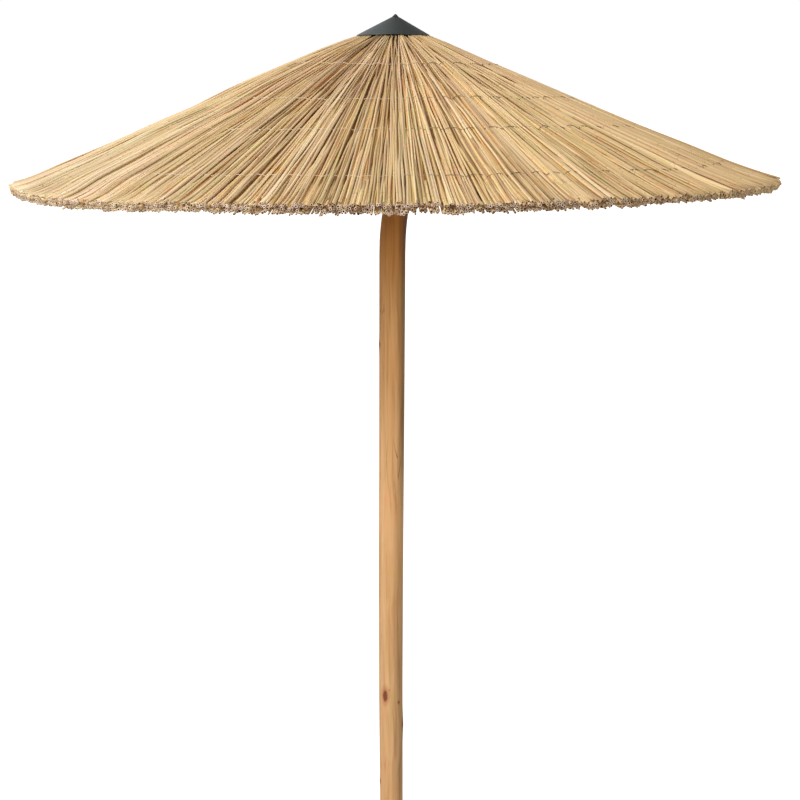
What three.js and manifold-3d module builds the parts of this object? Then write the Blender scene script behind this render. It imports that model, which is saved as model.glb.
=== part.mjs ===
// Reed-thatched beach umbrella: a peeled pine pole, a lift-off canopy frame of eight wooden ribs and struts bolted to
// steel hardware, three steel hoops, a thatch of wired reeds in four quarters and a sheet-metal cap.
// Millimetres, +Z up. The origin is the centre of the sawn foot of the pole.
import * as THREE from "three";
import { mergeVertices } from "three/addons/utils/BufferGeometryUtils.js";
import Module from "manifold-3d";

const wasm = await Module();
wasm.setup();

// ---- driving dimensions -------------------------------------------------------------------------------------------
const TIP_Z = 2500; // top of the cap stud, the highest point
const ARMS = 8; // ribs, and struts under them
const ARM_STEP = (2 * Math.PI) / ARMS;
const ARM_START = Math.PI / 8; // azimuth of the first rib
const ROUND = 32; // sides of every ring that goes round the canopy

const POLE_LENGTH = 2400;
const POLE_FOOT_R = 30; // natural taper, thin end down
const POLE_TOP_R = 35; // turned true over the top stretch
const POLE_TRUE_Z = 1990; // the turned stretch starts here
// Natural bow of the log: height, and how far its centre lies from the axis along X.
const POLE_BOW = [
  [0, 0],
  [150, -7],
  [330, -12.5],
  [660, -13.2],
  [980, -12.4],
  [1300, -11.4],
  [1620, -10.4],
  [1800, -9.5],
  [1870, -8.9],
  [1912, -7.7],
  [1944, -5.3],
  [1970, -2.2],
  [POLE_TRUE_Z, 0],
];

const LINER_IN = 35.5,
  LINER_OUT = 37.6,
  LINER_Z = 2225;
const HUB_IN = 38.1,
  HUB_OUT = 41.1,
  HUB_Z = 2215,
  HUB_PLATE_Z = 2403,
  HUB_PLATE_T = 6;

const SLOPE = 0.4126; // fall per unit of radius of the ribs and of the thatch's underside
const COS = 1 / Math.hypot(1, SLOPE);
const SIN = SLOPE * COS;
const RIM_R = 1000; // outer radius of the thatch
const UNDER_R0 = 93,
  UNDER_Z0 = 2414; // a point on the thatch's underside
const HOOP_ROD = 4; // radius of the hoop rod
const GAP = 0.3;
const RIB_H = 34,
  RIB_W = 24,
  RIB_IN = 50,
  RIB_END = 885;
const STRUT_H = 24,
  STRUT_W = 18,
  STRUT_SIDE = RIB_W / 2 + 0.4 + STRUT_W / 2; // the strut runs beside its rib
const RIB_BOLT_R = 72,
  STRUT_TOP_R = 540,
  STRUT_FOOT_R = 58,
  STRUT_FOOT_Z = 2042;
const HOOPS = { inner: 280, middle: 635, outer: 865 };
const WIRES = [280, 475, 635, 865];
const WIRE_R = 1.25;

const COLLAR_IN = 36.4,
  COLLAR_OUT = 39.4,
  COLLAR_Z0 = 1994,
  COLLAR_Z1 = 2062;
const CLAMP_Z = 2007; // axis of the clamp screw

// Outer skin of the thatch, radius and height.
const SKIN = [
  [62, 2457],
  [97, 2443],
  [220, 2395],
  [400, 2320],
  [600, 2233],
  [800, 2147],
  [900, 2107],
  [950, 2089],
  [RIM_R, 2074],
];
const RIM_BOTTOM = [985, 2046];

const under = (r) => UNDER_Z0 - SLOPE * (r - UNDER_R0); // thatch underside
const ribTop = (r) => under(r) - (2 * HOOP_ROD + GAP + 0.8) / COS;
const ribMid = (r) => ribTop(r) - RIB_H / 2 / COS;
const skin = (r) => {
  for (let i = 1; i < SKIN.length; i++)
    if (r <= SKIN[i][0]) {
      const [a, za] = SKIN[i - 1],
        [b, zb] = SKIN[i];
      return { z: za + ((zb - za) * (r - a)) / (b - a), s: (za - zb) / (b - a) };
    }
};

// ---- materials ----------------------------------------------------------------------------------------------------
const mat = (color, roughness, metalness = 0) =>
  new THREE.MeshStandardMaterial({ color, roughness, metalness });
const PINE = mat(0xd2a468, 0.62);
const BATTEN = mat(0xcfae7c, 0.7);
const REED = mat(0xd8b780, 0.8);
const ZINC = mat(0x9fa3a4, 0.42, 0.9);
const CAP_GREY = mat(0x474d51, 0.5, 0.35);
const NYLON = mat(0x1d1d1f, 0.55);

// ---- helpers ------------------------------------------------------------------------------------------------------
const solid = (g) => {
  g = (g.index ? g.toNonIndexed() : g.clone());
  g.deleteAttribute("normal");
  g.deleteAttribute("uv");
  const m = mergeVertices(g, 1e-4);
  return new wasm.Manifold(
    new wasm.Mesh({
      numProp: 3,
      vertProperties: new Float32Array(m.attributes.position.array),
      triVerts: new Uint32Array(m.index.array),
    }),
  );
};
const geometry = (s) => {
  const m = s.getMesh();
  const v = new Float32Array(m.numVert * 3);
  for (let i = 0; i < m.numVert; i++)
    v.set(m.vertProperties.subarray(i * m.numProp, i * m.numProp + 3), i * 3);
  return new THREE.BufferGeometry()
    .setAttribute("position", new THREE.BufferAttribute(v, 3))
    .setIndex(new THREE.BufferAttribute(new Uint32Array(m.triVerts), 1));
};
const join = (...gs) => geometry(gs.map(solid).reduce((a, b) => a.add(b)));
const cut = (g, ...tools) =>
  geometry(tools.map(solid).reduce((a, b) => a.subtract(b), solid(g)));

// A profile of [radius, height] turned about Z. It starts and ends on the axis, or closes on itself.
const turned = (profile, sides) => {
  const make = (p) =>
    new THREE.LatheGeometry(
      p.map(([r, z]) => new THREE.Vector2(r, z)),
      sides,
    ).rotateX(Math.PI / 2);
  const onAxis = profile[0][0] === 0;
  const ring = onAxis ? profile : [...profile, profile[0]];
  const g = make(ring);
  return solid(g).volume() > 0 ? g : make([...ring].reverse());
};
// An outline of [x, z] with round holes [x, z, radius], from y0 to y1.
const slab = (outline, y0, y1, holes = [], holeSides = 8) => {
  const shape = new THREE.Shape(outline.map(([x, z]) => new THREE.Vector2(x, z)));
  for (const [x, z, r] of holes)
    shape.holes.push(new THREE.Path().absarc(x, z, r, 0, 2 * Math.PI, true));
  return new THREE.ExtrudeGeometry(shape, {
    depth: y1 - y0,
    bevelEnabled: false,
    curveSegments: holeSides / 2,
  })
    .rotateX(Math.PI / 2)
    .translate(0, y1, 0);
};
// A cylinder or prism along Y.
const rodY = (r, y0, y1, sides) =>
  new THREE.CylinderGeometry(r, r, y1 - y0, sides).translate(0, (y0 + y1) / 2, 0);
// A cylinder or prism along X.
const rodX = (r, x0, x1, sides) =>
  new THREE.CylinderGeometry(r, r, x1 - x0, sides)
    .rotateZ(-Math.PI / 2)
    .translate((x0 + x1) / 2, 0, 0);
// A cylinder or prism along Z.
const rodZ = (r, z0, z1, sides) =>
  new THREE.CylinderGeometry(r, r, z1 - z0, sides)
    .rotateX(Math.PI / 2)
    .translate(0, 0, (z0 + z1) / 2);
const box = (x0, x1, y0, y1, z0, z1) =>
  new THREE.BoxGeometry(x1 - x0, y1 - y0, z1 - z0).translate(
    (x0 + x1) / 2,
    (y0 + y1) / 2,
    (z0 + z1) / 2,
  );
// Hex bolt with its nut, along Y: head below y0, nut above y1.
const hexR = (acrossFlats) => acrossFlats / Math.sqrt(3);
const bolt = (shankR, flats, headH, nutH, y0, y1) =>
  join(
    rodY(hexR(flats), y0 - headH, y0, 6),
    rodY(shankR, y0 - headH / 2, y1 + nutH + 3, 8),
    rodY(hexR(flats), y1, y1 + nutH, 6),
  );
const mesh = (name, g, material) => {
  const m = new THREE.Mesh(g, material);
  m.name = name;
  return m;
};

const umbrella = new THREE.Group();

// ---- pole ---------------------------------------------------------------------------------------------------------
{
  const bow = (z) => {
    for (let i = 1; i < POLE_BOW.length; i++)
      if (z <= POLE_BOW[i][0]) {
        const [a, p] = POLE_BOW[i - 1],
          [b, q] = POLE_BOW[i];
        return p + ((q - p) * (z - a)) / (b - a);
      }
    return 0;
  };
  const heights = [4, ...POLE_BOW.slice(1).map(([z]) => z)];
  const radius = (z) => POLE_FOOT_R + ((POLE_TOP_R - POLE_FOOT_R) * z) / POLE_TRUE_Z;
  const g = turned(
    [
      [0, 0],
      [POLE_FOOT_R - 3, 0],
      ...heights.map((z) => [radius(z), z]),
      [POLE_TOP_R, POLE_LENGTH - 3],
      [POLE_TOP_R - 3, POLE_LENGTH],
      [0, POLE_LENGTH],
    ],
    24,
  );
  const p = g.attributes.position;
  for (let i = 0; i < p.count; i++) p.setX(i, p.getX(i) + bow(p.getZ(i)));
  umbrella.add(mesh("pole", g, PINE));
}

// ---- liner: a cup between the top of the pole and the hub -----------------------------------------------------------
umbrella.add(
  mesh(
    "hub_liner",
    turned(
      [
        [0, POLE_LENGTH + GAP],
        [LINER_IN, POLE_LENGTH + GAP],
        [LINER_IN, LINER_Z],
        [LINER_OUT, LINER_Z],
        [LINER_OUT, HUB_PLATE_Z - GAP],
        [0, HUB_PLATE_Z - GAP],
      ],
      24,
    ),
    NYLON,
  ),
);

const canopy = new THREE.Group();
umbrella.add(canopy);

// ---- hub: tube, top plate and eight pairs of ears, welded into one --------------------------------------------------
{
  let hub = solid(
    turned(
      [
        [3.6, HUB_PLATE_Z],
        [HUB_IN, HUB_PLATE_Z],
        [HUB_IN, HUB_Z],
        [HUB_OUT, HUB_Z],
        [HUB_OUT, HUB_PLATE_Z + HUB_PLATE_T],
        [3.6, HUB_PLATE_Z + HUB_PLATE_T],
      ],
      24,
    ),
  );
  const y0 = RIB_W / 2 + GAP,
    t = 4;
  for (let i = 0; i < ARMS; i++)
    for (const side of [-1, 1]) {
      const a = side * y0,
        b = side * (y0 + t);
      const ear = slab(
        [
          [38.8, 2345],
          [86, 2366],
          [88, 2400],
          [38.8, 2406],
        ],
        Math.min(a, b),
        Math.max(a, b),
        [[RIB_BOLT_R, ribMid(RIB_BOLT_R), 4.6]],
      ).rotateZ(ARM_START + i * ARM_STEP);
      hub = hub.add(solid(ear));
    }
  // Ears start inside the tube's wall, so the socket is cleared to its own radius.
  hub = hub.subtract(solid(rodZ(HUB_IN, HUB_Z - 1, HUB_PLATE_Z, 24)));
  canopy.add(mesh("hub_socket", geometry(hub), ZINC));
}

// ---- collar: tube, eight pairs of ears for the struts, and the clamp screw's boss -----------------------------------
{
  let collar = solid(
    turned(
      [
        [COLLAR_IN, COLLAR_Z0],
        [COLLAR_OUT, COLLAR_Z0],
        [COLLAR_OUT, COLLAR_Z1],
        [COLLAR_IN, COLLAR_Z1],
      ],
      24,
    ),
  );
  const t = 3.2;
  const inner = STRUT_SIDE - STRUT_W / 2 - GAP,
    outer = STRUT_SIDE + STRUT_W / 2 + GAP;
  for (let i = 0; i < ARMS; i++)
    for (const [x0, ya, yb] of [
      [37, inner - t, inner],
      [21.5, outer, outer + t],
    ]) {
      const ear = slab(
        [
          [x0, 2024],
          [70, 2029],
          [70, 2055],
          [x0, 2060],
        ],
        ya,
        yb,
        [[STRUT_FOOT_R, STRUT_FOOT_Z, 3.6]],
      ).rotateZ(ARM_START + i * ARM_STEP);
      collar = collar.add(solid(ear));
    }
  collar = collar
    .subtract(solid(rodZ(COLLAR_IN, COLLAR_Z0 - 1, COLLAR_Z1 + 1, 24)))
    .add(solid(rodX(9, 37.6, 52, 16).translate(0, 0, CLAMP_Z)))
    .subtract(solid(rodX(5.8, 30, 44, 12).translate(0, 0, CLAMP_Z)))
    .subtract(solid(rodX(4.5, 43, 54, 12).translate(0, 0, CLAMP_Z)));
  canopy.add(mesh("strut_collar", geometry(collar), ZINC));
}

// ---- clamp screw and its pressure pad -------------------------------------------------------------------------------
{
  const clamp = new THREE.Group();
  clamp.position.set(0, 0, CLAMP_Z);
  clamp.add(
    mesh("clamp_pad", rodX(5, POLE_TOP_R + 0.35, POLE_TOP_R + 2.85, 12), NYLON),
  );
  const wing = slab(
    [
      [60, 0],
      [58, -7],
      [62, -13],
      [72, -13],
      [74, -8],
      [66, -3],
      [66, 3],
      [74, 8],
      [72, 13],
      [62, 13],
      [58, 7],
    ],
    -1.6,
    1.6,
  );
  clamp.add(
    mesh(
      "wing_screw",
      join(rodX(4, POLE_TOP_R + 3.15, 60, 10), rodX(6.5, 56, 67, 12), wing),
      ZINC,
    ),
  );
  canopy.add(clamp);
}

// ---- eight arms: rib, strut and their bolts -------------------------------------------------------------------------
const strutTop = [STRUT_TOP_R, ribMid(STRUT_TOP_R)],
  strutFoot = [STRUT_FOOT_R, STRUT_FOOT_Z];
const along = new THREE.Vector2(strutTop[0] - strutFoot[0], strutTop[1] - strutFoot[1]).normalize();
const strutPoint = ([x, z], a, n) => [
  x + along.x * a - along.y * n,
  z + along.y * a + along.x * n,
];
for (let i = 0; i < ARMS; i++) {
  const arm = new THREE.Group();
  arm.rotation.z = ARM_START + i * ARM_STEP;
  const n = i + 1;
  const tall = RIB_H / COS;
  arm.add(
    mesh(
      "rib_" + n,
      slab(
        [
          [RIB_IN, ribTop(RIB_IN) - tall],
          [RIB_END - RIB_H * SIN, ribTop(RIB_END) - RIB_H * COS],
          [RIB_END, ribTop(RIB_END)],
          [RIB_IN, ribTop(RIB_IN)],
        ],
        -RIB_W / 2,
        RIB_W / 2,
        [
          [RIB_BOLT_R, ribMid(RIB_BOLT_R), 4.6],
          [STRUT_TOP_R, ribMid(STRUT_TOP_R), 4.6],
        ],
      ),
      BATTEN,
    ),
    mesh(
      "strut_" + n,
      slab(
        [
          strutPoint(strutFoot, -13, -STRUT_H / 2),
          strutPoint(strutTop, 18, -STRUT_H / 2),
          strutPoint(strutTop, 18, STRUT_H / 2),
          strutPoint(strutFoot, -13, STRUT_H / 2),
        ],
        STRUT_SIDE - STRUT_W / 2,
        STRUT_SIDE + STRUT_W / 2,
        [
          [...strutFoot, 3.6],
          [...strutTop, 4.6],
        ],
      ),
      BATTEN,
    ),
  );
  const at = (m, x, z) => {
    m.position.set(x, 0, z);
    return m;
  };
  const ear = RIB_W / 2 + GAP + 4 + GAP;
  arm.add(
    at(mesh("rib_bolt_" + n, bolt(4, 13, 5.3, 6.5, -ear, ear), ZINC), RIB_BOLT_R, ribMid(RIB_BOLT_R)),
    at(
      mesh(
        "strut_bolt_" + n,
        bolt(4, 13, 5.3, 6.5, -RIB_W / 2 - GAP, STRUT_SIDE + STRUT_W / 2 + GAP),
        ZINC,
      ),
      ...strutTop,
    ),
    at(
      mesh(
        "collar_bolt_" + n,
        bolt(
          3,
          10,
          4,
          5,
          STRUT_SIDE - STRUT_W / 2 - 2 * GAP - 3.2,
          STRUT_SIDE + STRUT_W / 2 + 2 * GAP + 3.2,
        ),
        ZINC,
      ),
      ...strutFoot,
    ),
  );
  canopy.add(arm);
}

// ---- hoops: steel rings that lie on the ribs and carry the thatch ----------------------------------------------------
for (const [name, r] of Object.entries(HOOPS)) {
  const m = mesh(
    "hoop_" + name,
    new THREE.TorusGeometry(r, HOOP_ROD, 6, ROUND),
    ZINC,
  );
  m.position.z = under(r) - (HOOP_ROD + GAP) / COS;
  canopy.add(m);
}

// ---- thatch: wired reeds, in four quarters ---------------------------------------------------------------------------
{
  const ring = turned([...SKIN, RIM_BOTTOM, [62, under(62)]], ROUND);
  const names = ["a", "b", "c", "d"];
  for (let q = 0; q < 4; q++) {
    const quarter = box(0.2, 1100, 0.2, 1100, 1900, 2600).rotateZ((q * Math.PI) / 2);
    canopy.add(
      mesh(
        "thatch_quarter_" + names[q],
        geometry(solid(ring).intersect(solid(quarter))),
        REED,
      ),
    );
  }
}

// ---- binding wires: rings drawn tight over the reeds ------------------------------------------------------------------
WIRES.forEach((r, i) => {
  const { z, s } = skin(r);
  const c = 1 / Math.hypot(1, s),
    lift = WIRE_R + 0.4;
  const m = mesh(
    "binding_wire_" + (i + 1),
    new THREE.TorusGeometry(r + lift * s * c, WIRE_R, 4, ROUND),
    ZINC,
  );
  m.position.z = z + lift * c;
  canopy.add(m);
});

// ---- cap: a cone of sheet metal, its stud and its nut -------------------------------------------------------------------
{
  const CAP_R = 95.5,
    CAP_Z = 2446.2,
    TOP_R = 7,
    TOP_Z = 2493.8,
    T = 1.3;
  const s = (TOP_Z - CAP_Z) / (CAP_R - TOP_R);
  const v = T * Math.hypot(1, s);
  canopy.add(
    mesh(
      "cap",
      turned(
        [
          [3.7, TOP_Z],
          [TOP_R, TOP_Z],
          [CAP_R, CAP_Z],
          [CAP_R - 0.6, CAP_Z - T],
          [TOP_R - 0.3, TOP_Z - v],
          [3.7, TOP_Z - v],
        ],
        ROUND,
      ),
      CAP_GREY,
    ),
    mesh(
      "cap_stud",
      join(
        rodZ(3, HUB_PLATE_Z + 0.5, TIP_Z - 1.2, 8),
        new THREE.CylinderGeometry(1.8, 3, 1.2, 8).rotateX(Math.PI / 2).translate(0, 0, TIP_Z - 0.6),
        rodZ(hexR(10), HUB_PLATE_Z + HUB_PLATE_T + GAP, HUB_PLATE_Z + HUB_PLATE_T + 5, 6),
      ),
      ZINC,
    ),
    mesh(
      "cap_nut",
      cut(
        join(
          rodZ(6.6, TOP_Z + GAP, TOP_Z + GAP + 1.1, 16),
          rodZ(hexR(9), TOP_Z + GAP + 0.6, TOP_Z + GAP + 4.1, 6),
        ),
        rodZ(3.6, TOP_Z - 2, TOP_Z + 8, 8),
      ),
      ZINC,
    ),
  );
}

export default umbrella;
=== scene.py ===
import math

import bmesh
import bpy
import numpy as np
from mathutils import Matrix, Vector


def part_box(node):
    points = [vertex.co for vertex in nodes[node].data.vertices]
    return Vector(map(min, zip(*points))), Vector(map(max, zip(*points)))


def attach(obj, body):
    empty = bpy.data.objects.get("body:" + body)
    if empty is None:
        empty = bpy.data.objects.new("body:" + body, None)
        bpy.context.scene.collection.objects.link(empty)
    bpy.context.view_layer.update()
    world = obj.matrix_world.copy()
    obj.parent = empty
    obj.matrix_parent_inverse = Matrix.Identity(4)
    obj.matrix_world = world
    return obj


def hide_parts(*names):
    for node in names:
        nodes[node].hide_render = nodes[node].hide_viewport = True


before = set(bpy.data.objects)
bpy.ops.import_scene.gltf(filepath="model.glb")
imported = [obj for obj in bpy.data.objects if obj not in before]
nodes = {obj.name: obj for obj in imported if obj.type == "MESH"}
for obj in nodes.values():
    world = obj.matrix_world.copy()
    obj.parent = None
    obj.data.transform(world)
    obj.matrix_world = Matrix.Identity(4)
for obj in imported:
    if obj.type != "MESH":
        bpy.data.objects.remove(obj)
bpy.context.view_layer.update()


scene = bpy.context.scene

# ---- camera: first, at the photograph's viewing angle ---------------------------------------------------------------
cam_data = bpy.data.cameras.new("camera")
cam_data.lens = 84.31
cam_data.sensor_width = 36.0
cam_data.sensor_fit = "HORIZONTAL"
cam_data.clip_end = 200
camera = bpy.data.objects.new("camera", cam_data)
scene.collection.objects.link(camera)
camera.location = (0.0120, -4.9934, 2.31928)
camera.rotation_euler = (math.radians(90 - 9.56856), 0, 0)
scene.camera = camera


# ---- small tools ------------------------------------------------------------------------------------------------------
def smooth(x, a=0.0, b=1.0):
    t = np.clip((x - a) / (b - a), 0, 1)
    return t * t * (3 - 2 * t)


def object_from(name, verts, faces_groups, mats, attrs=None, smooth_faces=True, smooth_mask=None):
    """faces_groups: list of (array of faces with the same corner count, material index)."""
    me = bpy.data.meshes.new(name)
    verts = np.asarray(verts, np.float32).reshape(-1, 3)
    loops, starts, mat_ids, flat = [], [], [], []
    pos = 0
    for faces, mi, *rest in faces_groups:
        faces = np.asarray(faces, np.int32)
        if not len(faces):
            continue
        n, k = faces.shape
        loops.append(faces.ravel())
        starts.append(pos + np.arange(n) * k)
        mat_ids.append(np.full(n, mi, np.int32))
        flat.append(np.full(n, bool(rest[0]) if rest else False))
        pos += n * k
    loops = np.concatenate(loops)
    starts = np.concatenate(starts).astype(np.int32)
    mat_ids = np.concatenate(mat_ids)
    flat = np.concatenate(flat)
    me.vertices.add(len(verts))
    me.vertices.foreach_set("co", verts.ravel())
    me.loops.add(len(loops))
    me.loops.foreach_set("vertex_index", loops)
    me.polygons.add(len(starts))
    me.polygons.foreach_set("loop_start", starts)
    me.polygons.foreach_set("material_index", mat_ids)
    me.polygons.foreach_set("use_smooth", ~flat if smooth_faces else np.zeros(len(flat), bool))
    me.update(calc_edges=True)
    for key, (kind, values) in (attrs or {}).items():
        a = me.attributes.new(key, kind, "POINT")
        field = {"FLOAT_COLOR": "color", "FLOAT_VECTOR": "vector", "FLOAT": "value"}[kind]
        a.data.foreach_set(field, np.asarray(values, np.float32).ravel())
    me.validate()
    ob = bpy.data.objects.new(name, me)
    scene.collection.objects.link(ob)
    for m in mats:
        me.materials.append(m)
    return ob


# ---- materials --------------------------------------------------------------------------------------------------------
def srgb(r, g, b):
    f = lambda c: c / 12.92 if c <= 0.04045 else ((c + 0.055) / 1.055) ** 2.4
    return tuple(f(v / 255.0) for v in (r, g, b))


def srgb_a(c):
    c = np.asarray(c, float) / 255.0
    return np.where(c <= 0.04045, c / 12.92, ((c + 0.055) / 1.055) ** 2.4)


class Nodes:
    """A small helper that builds a node tree in one line per node."""

    def __init__(self, name):
        self.mat = bpy.data.materials.new(name)
        self.mat.use_nodes = True
        self.t = self.mat.node_tree
        self.t.nodes.clear()
        self.out = self.t.nodes.new("ShaderNodeOutputMaterial")
        self.p = self.t.nodes.new("ShaderNodeBsdfPrincipled")
        self.t.links.new(self.p.outputs[0], self.out.inputs[0])

    def add(self, kind, **props):
        n = self.t.nodes.new("ShaderNode" + kind)
        for k, v in props.items():
            setattr(n, k, v)
        return n

    def put(self, socket, value):
        if isinstance(value, bpy.types.NodeSocket):
            self.t.links.new(value, socket)
        elif value is not None:
            if socket.type == "RGBA" and len(value) == 3:
                value = (*value, 1.0)
            socket.default_value = value

    def coords(self, kind="Object"):
        return self.add("TexCoord").outputs[kind]

    def attr(self, name, out="Color"):
        return self.add("Attribute", attribute_name=name).outputs[out]

    def scale(self, vec, s):
        n = self.add("Mapping")
        self.put(n.inputs["Vector"], vec)
        n.inputs["Scale"].default_value = s
        return n.outputs[0]

    def shift(self, vec, by):
        n = self.add("Mapping")
        self.put(n.inputs["Vector"], vec)
        n.inputs["Location"].default_value = by
        return n.outputs[0]

    def noise(self, vec, scale, detail=3.0, rough=0.55, distortion=0.0, out="Fac"):
        n = self.add("TexNoise")
        self.put(n.inputs["Vector"], vec)
        n.inputs["Scale"].default_value = scale
        n.inputs["Detail"].default_value = detail
        n.inputs["Roughness"].default_value = rough
        n.inputs["Distortion"].default_value = distortion
        return n.outputs[out]

    def voronoi(self, vec, scale, feature="F1", out="Distance"):
        n = self.add("TexVoronoi", feature=feature)
        self.put(n.inputs["Vector"], vec)
        n.inputs["Scale"].default_value = scale
        return n.outputs[out]

    def math(self, op, a, b=None, c=None, clamp=False):
        n = self.add("Math", operation=op, use_clamp=clamp)
        self.put(n.inputs[0], a)
        if b is not None:
            self.put(n.inputs[1], b)
        if c is not None:
            self.put(n.inputs[2], c)
        return n.outputs[0]

    def remap(self, v, a, b, c=0.0, d=1.0, kind="SMOOTHSTEP"):
        n = self.add("MapRange", interpolation_type=kind)
        self.put(n.inputs[0], v)
        for i, x in enumerate((a, b, c, d)):
            n.inputs[1 + i].default_value = x
        return n.outputs[0]

    def ramp(self, v, stops, interp="LINEAR"):
        n = self.add("ValToRGB")
        n.color_ramp.interpolation = interp
        e = n.color_ramp.elements
        while len(e) < len(stops):
            e.new(0.5)
        for el, (pos, col) in zip(e, stops):
            el.position = pos
            el.color = (*col, 1.0)
        self.put(n.inputs[0], v)
        return n.outputs[0]

    def mix(self, f, a, b, blend="MIX"):
        n = self.add("Mix", data_type="RGBA", blend_type=blend)
        self.put(n.inputs[0], f)
        self.put(n.inputs[6], a)
        self.put(n.inputs[7], b)
        return n.outputs[2]

    def sep(self, v):
        n = self.add("SeparateXYZ")
        self.put(n.inputs[0], v)
        return n.outputs

    def comb(self, x, y, z):
        n = self.add("CombineXYZ")
        for s, v in zip(n.inputs, (x, y, z)):
            self.put(s, v)
        return n.outputs[0]

    def bump(self, height, strength, distance=0.001, normal=None):
        n = self.add("Bump")
        n.inputs["Strength"].default_value = strength
        n.inputs["Distance"].default_value = distance
        self.put(n.inputs["Height"], height)
        if normal is not None:
            self.put(n.inputs["Normal"], normal)
        return n.outputs[0]

    def set(self, **sockets):
        for k, v in sockets.items():
            self.put(self.p.inputs[k.replace("_", " ")], v)
        return self.mat


def reed_material(name, gain=1.0):
    m = Nodes(name)
    col = m.attr("reed_col")
    ru = m.attr("reed_uv", "Vector")  # metres along, turns around, random
    s = m.sep(ru)
    along, around, rnd = s[0], s[1], s[2]
    shifted = m.math("ADD", along, m.math("MULTIPLY", rnd, 37.0))
    # fibres that run along the reed
    fib_v = m.comb(m.math("MULTIPLY", shifted, 9.0), m.math("MULTIPLY", around, 26.0), m.math("MULTIPLY", rnd, 91.0))
    fib = m.noise(fib_v, 1.0, 4.0, 0.6)
    blotch_v = m.comb(m.math("MULTIPLY", shifted, 5.0), m.math("MULTIPLY", around, 0.8), m.math("MULTIPLY", rnd, 53.0))
    blotch = m.noise(blotch_v, 1.0, 3.0, 0.55)
    # joints of the cane every 150 to 230 mm, a pale collar with a brown line under it
    step = m.math("ADD", 0.15, m.math("MULTIPLY", rnd, 0.08))
    ph = m.math("FRACT", m.math("DIVIDE", m.math("ADD", along, m.math("MULTIPLY", rnd, 0.9)), step))
    dist = m.math("MULTIPLY", m.math("SUBTRACT", ph, 0.5), step)
    line = m.remap(m.math("ABSOLUTE", dist), 0.0006, 0.0024, 1.0, 0.0)
    collar = m.remap(m.math("ABSOLUTE", m.math("ADD", dist, -0.006)), 0.003, 0.009, 1.0, 0.0)
    c = m.mix(m.remap(fib, 0.30, 0.72, 0.0, 0.55), col, m.mix(1.0, col, (1.12 * gain, 1.10 * gain, 1.06 * gain), "MULTIPLY"))
    c = m.mix(m.remap(fib, 0.30, 0.08, 0.0, 0.6), c, m.mix(1.0, c, (0.66, 0.58, 0.50), "MULTIPLY"))
    c = m.mix(m.remap(blotch, 0.56, 0.80, 0.0, 0.75), c, m.mix(1.0, c, (0.74, 0.60, 0.44), "MULTIPLY"))
    o = m.coords()
    patch = m.noise(o, 30.0, 2.0, 0.5)
    c = m.mix(m.remap(patch, 0.52, 0.72, 0.0, 0.8), c, m.mix(1.0, c, (1.02, 0.945, 1.02), "MULTIPLY"))
    c = m.mix(m.remap(patch, 0.48, 0.28, 0.0, 0.8), c, m.mix(1.0, c, (0.95, 1.0, 0.86), "MULTIPLY"))
    warm = m.noise(m.shift(o, (3.1, 7.7, 1.3)), 17.0, 3.0, 0.6)
    c = m.mix(m.remap(warm, 0.56, 0.76, 0.0, 0.85), c, m.mix(1.0, c, (0.99, 0.86, 0.68), "MULTIPLY"))
    x, y, z = m.sep(o)
    # painted light: the reeds at the front left, where the light falls, made paler
    painted_light_front_left = m.math("MULTIPLY", m.remap(x, -0.25, -0.85, 0.0, 1.0), m.remap(y, 0.45, -0.30, 0.0, 1.0))
    c = m.mix(painted_light_front_left, c, m.mix(1.0, c, (1.10, 1.20, 1.32), "MULTIPLY"))
    # painted light and shade across the lower canopy: lighter on the left, where the light falls, darker on the right
    painted_light_and_shade_across = m.ramp(m.math("ADD", m.math("MULTIPLY", x, 0.5), 0.5), [(0.05, (1.03, 1.04, 1.10)), (0.28, (1.07, 1.12, 1.12)), (0.50, (1.06, 1.11, 1.07)), (0.65, (1.00, 1.03, 0.99)), (0.78, (0.97, 0.98, 0.94)), (0.94, (0.94, 0.945, 0.90))])
    c = m.mix(m.remap(z, 2.36, 2.22, 0.0, 1.0), c, m.mix(1.0, c, painted_light_and_shade_across, "MULTIPLY"))
    c = m.mix(m.remap(z, 2.37, 2.42, 0.0, 1.0), c, m.mix(1.0, c, (0.95, 0.95, 0.92), "MULTIPLY"))
    c = m.mix(m.math("MULTIPLY", collar, 0.30), c, m.mix(1.0, c, (1.18, 1.16, 1.10), "MULTIPLY"))
    c = m.mix(m.math("MULTIPLY", line, 0.55), c, m.mix(1.0, c, (0.50, 0.36, 0.24), "MULTIPLY"))
    rough = m.remap(fib, 0.2, 0.8, 0.62, 0.42)
    h = m.math("ADD", m.math("MULTIPLY", fib, 0.5), m.math("MULTIPLY", line, -0.7))
    m.set(Base_Color=c, Roughness=rough, Normal=m.bump(h, 0.35, 0.0006))
    m.p.inputs["Specular IOR Level"].default_value = 0.35
    return m.mat


def cut_material(name, tone, dark):
    """The sawn ring at a reed's end, and with dark its hollow, in a near-black that is painted shade for its depth."""
    m = Nodes(name)
    n = m.noise(m.coords(), 900.0 if not dark else 300.0, 2.0)
    rnd = m.sep(m.attr("reed_uv", "Vector"))[2]
    a = m.mix(m.remap(n, 0.3, 0.7, 0.0, 1.0), tone[0], tone[1])
    b = m.mix(m.remap(rnd, 0.52, 1.0, 0.0, 0.75), a, tone[2])
    clump = m.noise(m.coords(), 34.0, 1.0)
    b = m.mix(m.remap(clump, 0.50, 0.38, 0.0, 1.0), b, m.mix(1.0, b, (0.46, 0.36, 0.30), "MULTIPLY"))
    # painted shade: the cut ends darker towards the right, which lies in shade
    x = m.sep(m.coords())[0]
    b = m.mix(m.remap(x, 0.15, 0.75, 0.0, 1.0), b, m.mix(1.0, b, (0.62, 0.57, 0.52), "MULTIPLY"))
    m.set(Base_Color=b, Roughness=m.remap(n, 0.2, 0.8, 0.8, 0.95))
    m.p.inputs["Specular IOR Level"].default_value = 0.1
    return m.mat


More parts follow.
